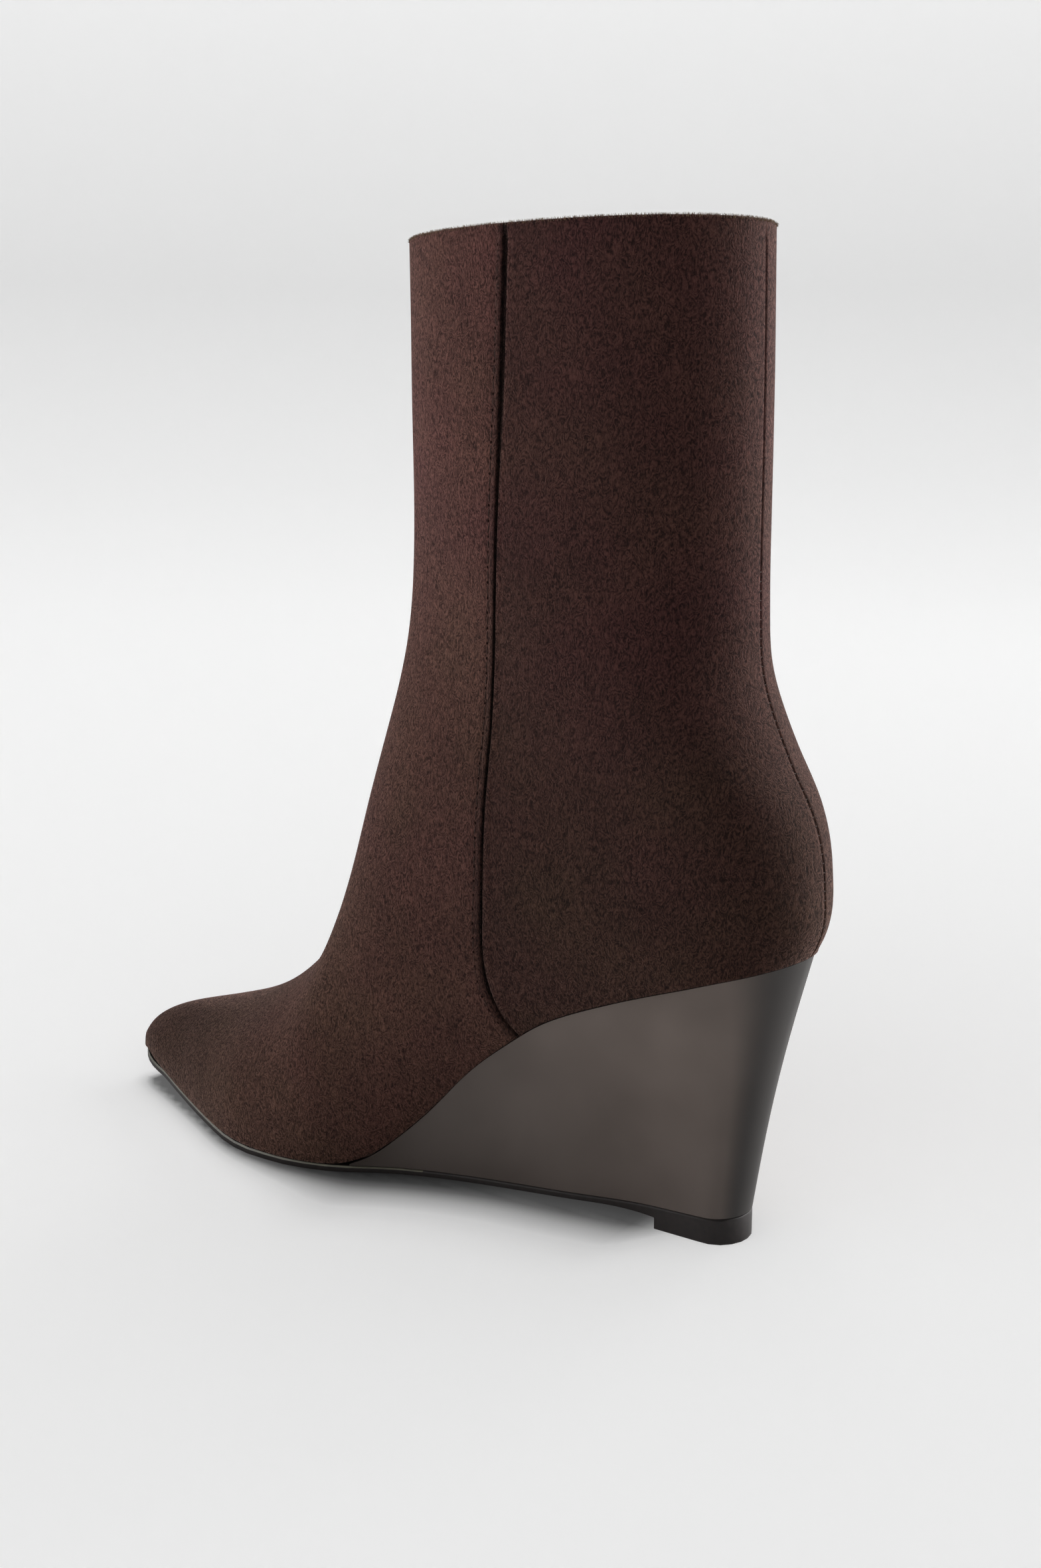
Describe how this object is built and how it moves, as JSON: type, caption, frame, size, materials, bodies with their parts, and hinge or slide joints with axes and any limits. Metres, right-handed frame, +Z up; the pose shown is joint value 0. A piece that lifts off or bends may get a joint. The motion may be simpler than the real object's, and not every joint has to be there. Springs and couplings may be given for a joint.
{
  "type": "wedge ankle boot",
  "caption": "Pull-on ankle boot with a pointed toe, a straight shaft, lapped side seams and a high wrapped wedge that tapers to a small heel lift.",
  "frame": {"origin": "middle of the heel lift's face on the floor", "axes": "+Z up, +Y towards the toe, +X to the wearer's right (the outer side of this right boot)"},
  "size_m": [0.0783, 0.254, 0.277],
  "materials": {
    "upper_microsuede": "dark chocolate-brown microsuede with a short wavy nap",
    "wedge_leather": "smooth grey-brown leather wrap, satin",
    "outsole_rubber": "dark brown rubber, semi-matte, with a buffed edge line",
    "insole_sock": "brown textile sock"
  },
  "bodies": {
    "root": {"upper": "upper_microsuede", "wedge": "wedge_leather", "outsole": "outsole_rubber", "insole": "insole_sock"}
  },
  "joints": []
}
